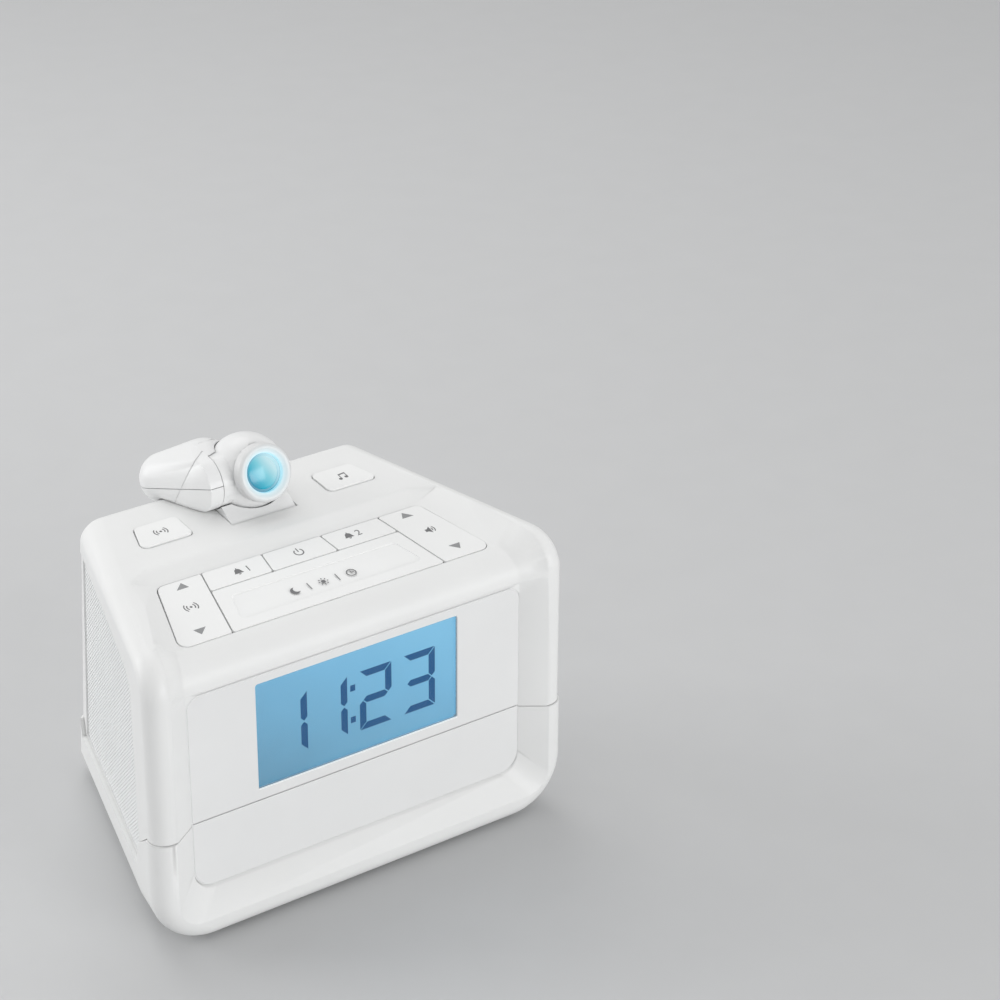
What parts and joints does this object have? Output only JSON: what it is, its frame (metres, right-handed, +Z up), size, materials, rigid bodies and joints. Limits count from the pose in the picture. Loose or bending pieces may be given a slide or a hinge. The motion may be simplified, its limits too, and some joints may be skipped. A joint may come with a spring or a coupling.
{
  "type": "projection alarm clock",
  "caption": "White table clock radio with a lit blue display, a sloping key pad, ribbed side panels and a tilting projector head on its deck.",
  "frame": {"origin": "on the floor under the middle of the casing", "axes": "+X along the width, to the right of a person facing the display; +Y to the back; +Z up"},
  "size_m": [0.1698, 0.1259, 0.1444],
  "materials": {
    "casing": "white satin moulding",
    "front_plate": "smooth white",
    "window": "clear",
    "lcd": "lit blue, dark blue figures",
    "backlight": "milky",
    "side_panel": "fine slanting ribs",
    "speaker": "black",
    "cone": "black paper",
    "magnet": "plain",
    "board": "green board",
    "key": "white satin",
    "projector": "smooth white",
    "ring": "smooth white",
    "carrier": "black",
    "lens": "blue lit lens",
    "lamp": "grey",
    "jack": "black",
    "contact": "plated spring",
    "foot": "soft",
    "screw": "plain"
  },
  "bodies": {
    "casing": {"lower_casing": "casing", "upper_casing": "casing", "display_plate": "front_plate", "lower_fascia": "front_plate", "display_window": "window", "lcd_panel": "lcd", "backlight": "backlight", "side_panel_left": "side_panel", "side_panel_right": "side_panel", "speaker_frame": "speaker", "speaker_cone": "cone", "speaker_magnet": "magnet", "main_board": "board", "key_board": "board", "projector_base": "projector", "arm_lower": "projector", "arm_upper": "projector", "dc_jack": "jack", "radio_switch": "board", "sounds_switch": "board", "contact_left": "contact", "contact_right": "contact", "foot_front_left": "foot", "foot_front_right": "foot", "foot_back_left": "foot", "foot_back_right": "foot", "screw_1": "screw", "screw_2": "screw", "screw_3": "screw", "screw_4": "screw"},
    "tuner_key": {"tuner_key": "key"},
    "alarm_1_key": {"alarm_1_key": "key"},
    "power_key": {"power_key": "key"},
    "alarm_2_key": {"alarm_2_key": "key"},
    "volume_key": {"volume_key": "key"},
    "snooze_key": {"snooze_key": "key"},
    "radio_key": {"radio_key": "key"},
    "sounds_key": {"sounds_key": "key"},
    "head": {"head_shell": "projector", "lamp_module": "lamp"},
    "ring": {"focus_ring": "ring"},
    "lens_slide": {"lens_carrier": "carrier", "projector_lens": "lens"},
    "door": {"battery_door": "casing"}
  },
  "joints": [
    {"name": "tuner_press", "type": "slide", "parent": "casing", "child": "tuner_key", "axis": [0, 0, -1], "range_m": [0, 0.0008], "stiffness_N_per_m": 1200},
    {"name": "alarm_1_press", "type": "slide", "parent": "casing", "child": "alarm_1_key", "axis": [0, 0, -1], "range_m": [0, 0.0008], "stiffness_N_per_m": 1200},
    {"name": "power_press", "type": "slide", "parent": "casing", "child": "power_key", "axis": [0, 0, -1], "range_m": [0, 0.0008], "stiffness_N_per_m": 1200},
    {"name": "alarm_2_press", "type": "slide", "parent": "casing", "child": "alarm_2_key", "axis": [0, 0, -1], "range_m": [0, 0.0008], "stiffness_N_per_m": 1200},
    {"name": "volume_press", "type": "slide", "parent": "casing", "child": "volume_key", "axis": [0, 0, -1], "range_m": [0, 0.0008], "stiffness_N_per_m": 1200},
    {"name": "snooze_press", "type": "slide", "parent": "casing", "child": "snooze_key", "axis": [0, 0, -1], "range_m": [0, 0.0008], "stiffness_N_per_m": 1200},
    {"name": "radio_press", "type": "slide", "parent": "casing", "child": "radio_key", "axis": [0, 0, -1], "range_m": [0, 0.0008], "stiffness_N_per_m": 1200},
    {"name": "sounds_press", "type": "slide", "parent": "casing", "child": "sounds_key", "axis": [0, 0, -1], "range_m": [0, 0.0008], "stiffness_N_per_m": 1200},
    {"name": "head_tilt", "type": "hinge", "parent": "casing", "child": "head", "pos_m": [0.0016, 0.0188, 0.1295], "axis": [-1, 0, 0], "range_deg": [-8, 70]},
    {"name": "focus_turn", "type": "hinge", "parent": "head", "child": "ring", "pos_m": [0.0016, 0.0188, 0.1295], "axis": [0, -0.9397, 0.342], "range_deg": [0, 180]},
    {"name": "lens_travel", "type": "slide", "parent": "head", "child": "lens_slide", "axis": [0, -0.9397, 0.342], "range_m": [0, 0.002]},
    {"name": "door_swing", "type": "hinge", "parent": "casing", "child": "door", "pos_m": [0, -0.0288, 0.0027], "axis": [-1, 0, 0], "range_deg": [0, 95]}
  ],
  "couplings": [
    {"joint": "focus_turn", "follows": "lens_travel", "rad_per_m": 1570.8}
  ]
}
